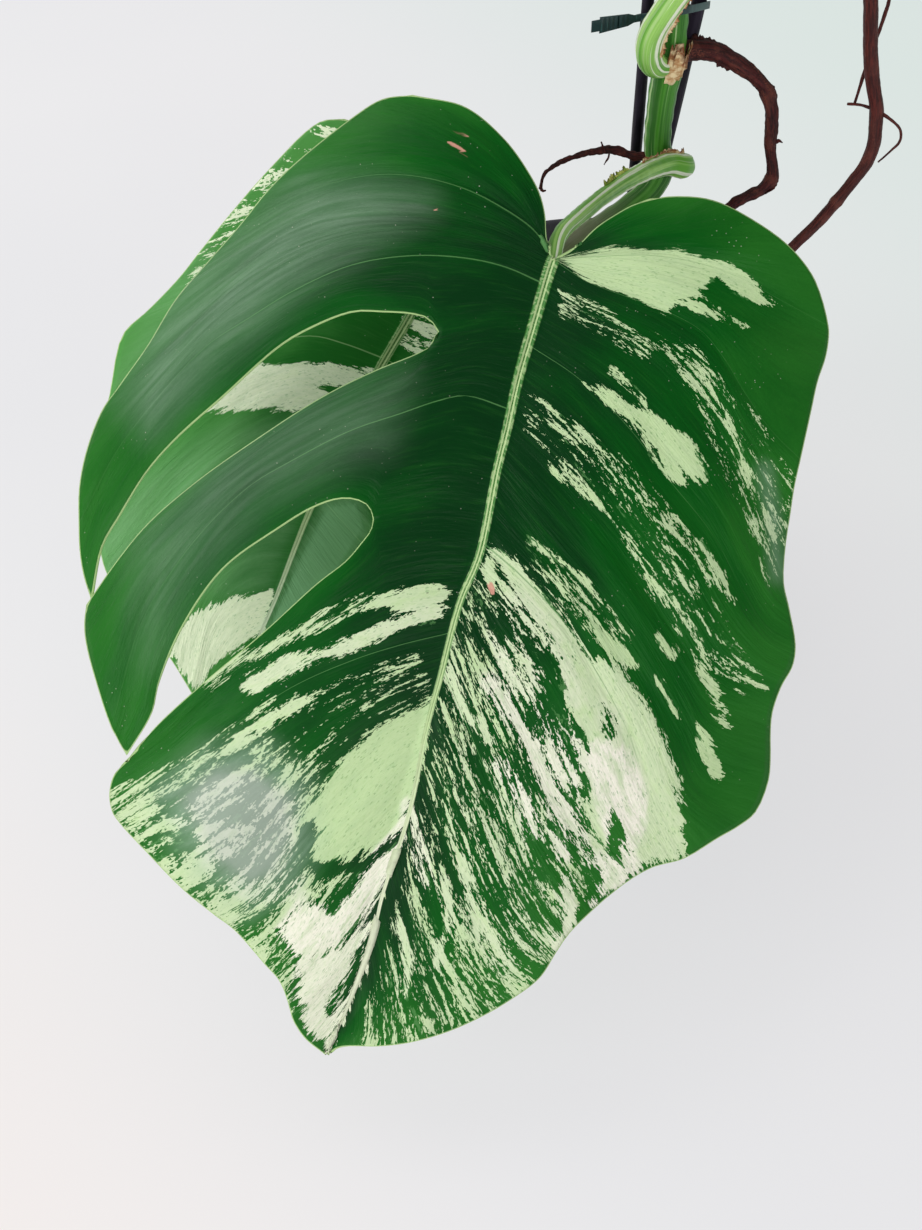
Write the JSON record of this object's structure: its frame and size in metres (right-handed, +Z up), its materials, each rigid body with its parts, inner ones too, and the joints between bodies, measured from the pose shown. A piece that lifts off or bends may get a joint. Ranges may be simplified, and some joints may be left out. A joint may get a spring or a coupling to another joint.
{
  "type": "potted variegated monstera plant",
  "caption": "Climbing house plant with large split, cream and green marbled leaves on striped stalks, aerial roots, stakes and a tie, in a plain dark nursery pot.",
  "frame": {"origin": "centre of the pot's flat base, on the surface that it stands on", "axes": "+Z up; the big front leaf hangs towards -Y, the roots come down on the +X side"},
  "size_m": [0.5299, 0.6023, 0.5289],
  "materials": {
    "leaf": "waxy leaf, deep green marbled with cream and white",
    "stem": "smooth green stalk with pale lengthwise stripes",
    "root": "rough dark red-brown bark",
    "stake": "blackish purple coated stake",
    "tie": "dark blue-green ridged plastic",
    "pot": "dark moulded nursery-pot plastic",
    "soil": "damp chunky potting mix"
  },
  "bodies": {
    "root": {"leaf_a": "leaf", "leaf_b": "leaf", "leaf_c": "leaf", "leaf_d": "leaf", "new_leaf": "leaf", "petiole_a": "stem", "petiole_b": "stem", "petiole_c": "stem", "petiole_d": "stem", "stem": "stem", "root_1": "root", "root_2": "root", "root_3": "root", "stake_left": "stake", "stake_right": "stake", "plant_tie": "tie", "pot": "pot", "soil": "soil"}
  },
  "joints": []
}
